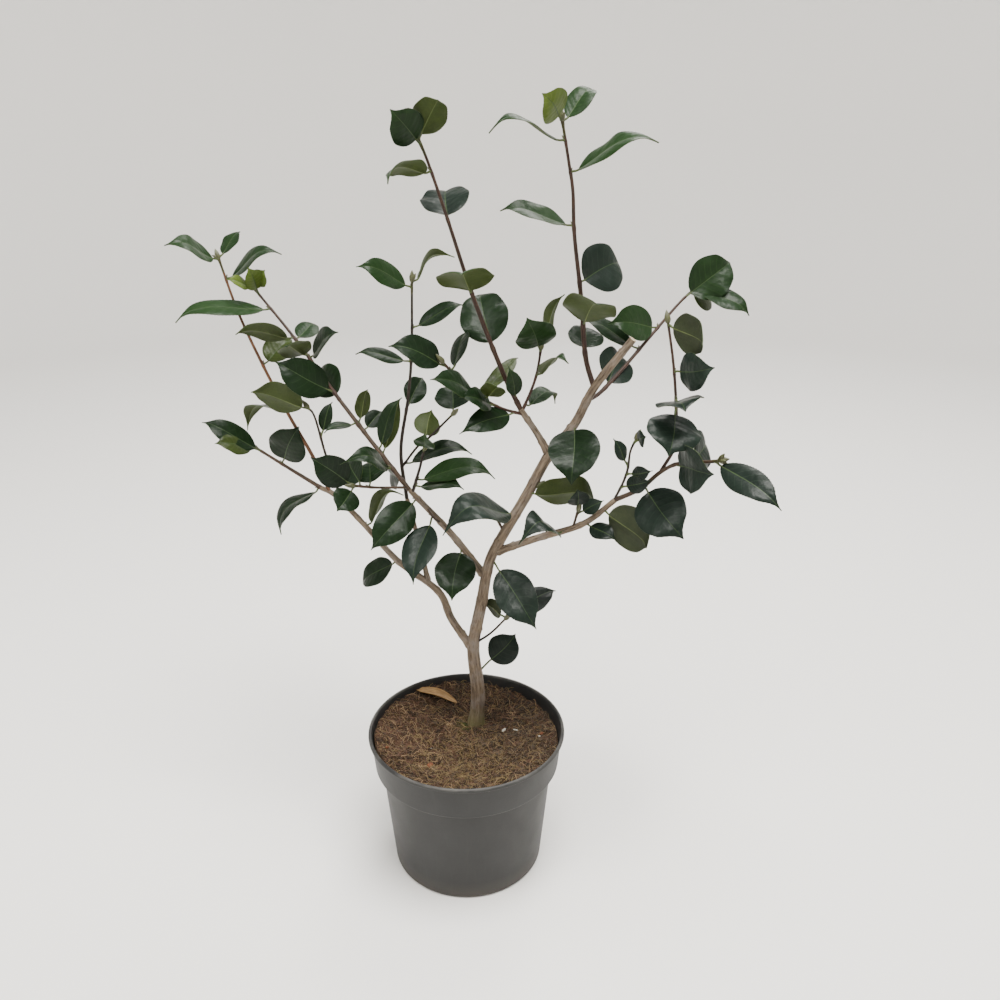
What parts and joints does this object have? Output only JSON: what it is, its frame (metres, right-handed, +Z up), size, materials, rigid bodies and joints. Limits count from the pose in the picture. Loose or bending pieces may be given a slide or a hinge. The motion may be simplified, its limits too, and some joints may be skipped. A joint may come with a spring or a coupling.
{
  "type": "potted camellia shrub",
  "caption": "Young open-branched evergreen shrub with glossy oval leaves, standing in a round dark nursery pot filled with fibrous soil.",
  "frame": {"origin": "centre of the pot's flat underside, where it stands on the ground", "axes": "+Z up, +X to the right and -Y to the front of the plant's best side"},
  "size_m": [0.5441, 0.301, 0.7161],
  "materials": {
    "pot": "matte",
    "soil": "matte",
    "bark": "matte",
    "foliage": "satin"
  },
  "bodies": {
    "root": {"bough_centre": "bark", "bough_left_inner": "bark", "bough_left_low": "bark", "bough_left_mid": "bark", "bough_right_low": "bark", "foliage_centre_left": "foliage", "foliage_centre_right": "foliage", "foliage_far_left": "foliage", "foliage_inner_top": "foliage", "foliage_leader": "foliage", "foliage_left_inner": "foliage", "foliage_left_tip": "foliage", "foliage_mid_inner": "foliage", "foliage_mid_left": "foliage", "foliage_mid_top": "foliage", "foliage_right_inner": "foliage", "foliage_right_low": "foliage", "foliage_right_mid": "foliage", "foliage_right_spur": "foliage", "foliage_right_top": "foliage", "foliage_upright": "foliage", "leaf_left_low_inner": "foliage", "leaf_left_low_outer": "foliage", "leaf_left_mid_foot": "foliage", "leaf_left_mid_hanging": "foliage", "leaf_left_mid_outer": "foliage", "leaf_right_low_arched": "foliage", "leaf_right_low_broad": "foliage", "leaf_right_low_small": "foliage", "leaf_trunk_arched": "foliage", "leaf_trunk_high": "foliage", "leaf_trunk_low": "foliage", "leaf_trunk_mid": "foliage", "leaf_trunk_side": "foliage", "pot": "pot", "soil": "soil", "sprig_trunk_low": "foliage", "trunk": "bark"}
  },
  "joints": []
}
